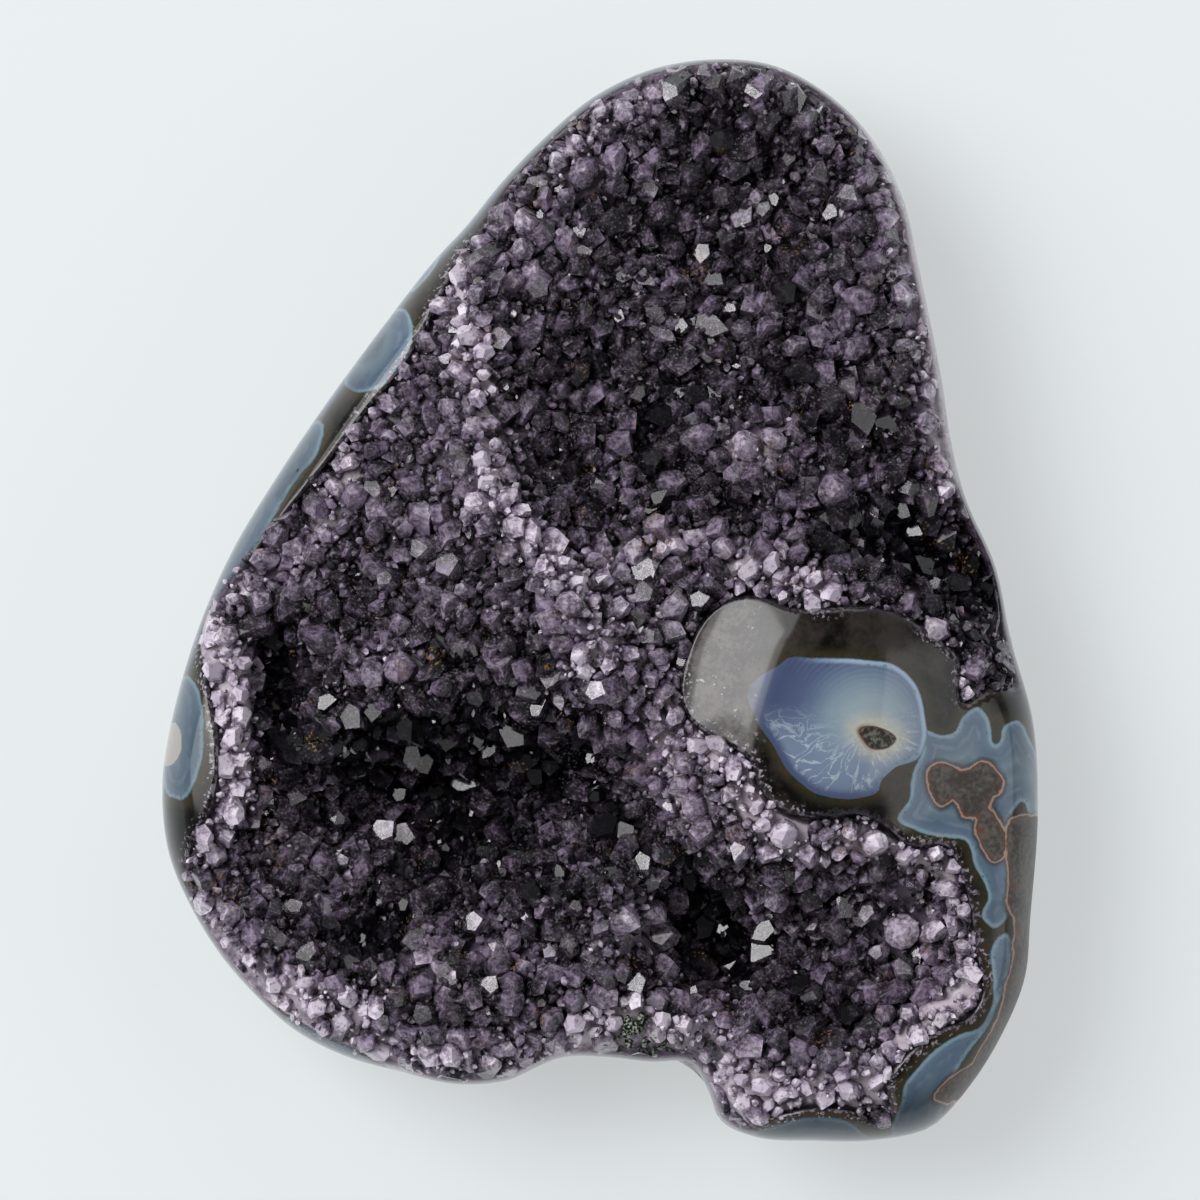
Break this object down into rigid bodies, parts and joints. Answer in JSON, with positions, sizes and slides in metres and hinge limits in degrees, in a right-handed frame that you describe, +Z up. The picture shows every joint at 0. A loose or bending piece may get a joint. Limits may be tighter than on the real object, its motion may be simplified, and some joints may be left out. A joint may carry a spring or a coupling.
{
  "type": "amethyst druse",
  "caption": "Ground and polished slab of agate and basalt that lies on its rough back, with a crust of dark amethyst points over its face and a polished agate eye.",
  "frame": {"origin": "middle of the outline seen from above, on the surface that the stone lies on", "axes": "+Z up out of the crystal face, +Y towards the narrow rounded end, +X towards the side with the polished agate eye"},
  "size_m": [0.162, 0.2001, 0.0568],
  "materials": {
    "agate": "polished agate and dark basalt rim, rough basalt back",
    "amethyst": "glassy crystal faces, pale at the roots and dark violet to smoky at the tips"
  },
  "bodies": {
    "root": {"agate_stone": "agate", "crystal_crust": "amethyst"}
  },
  "joints": []
}
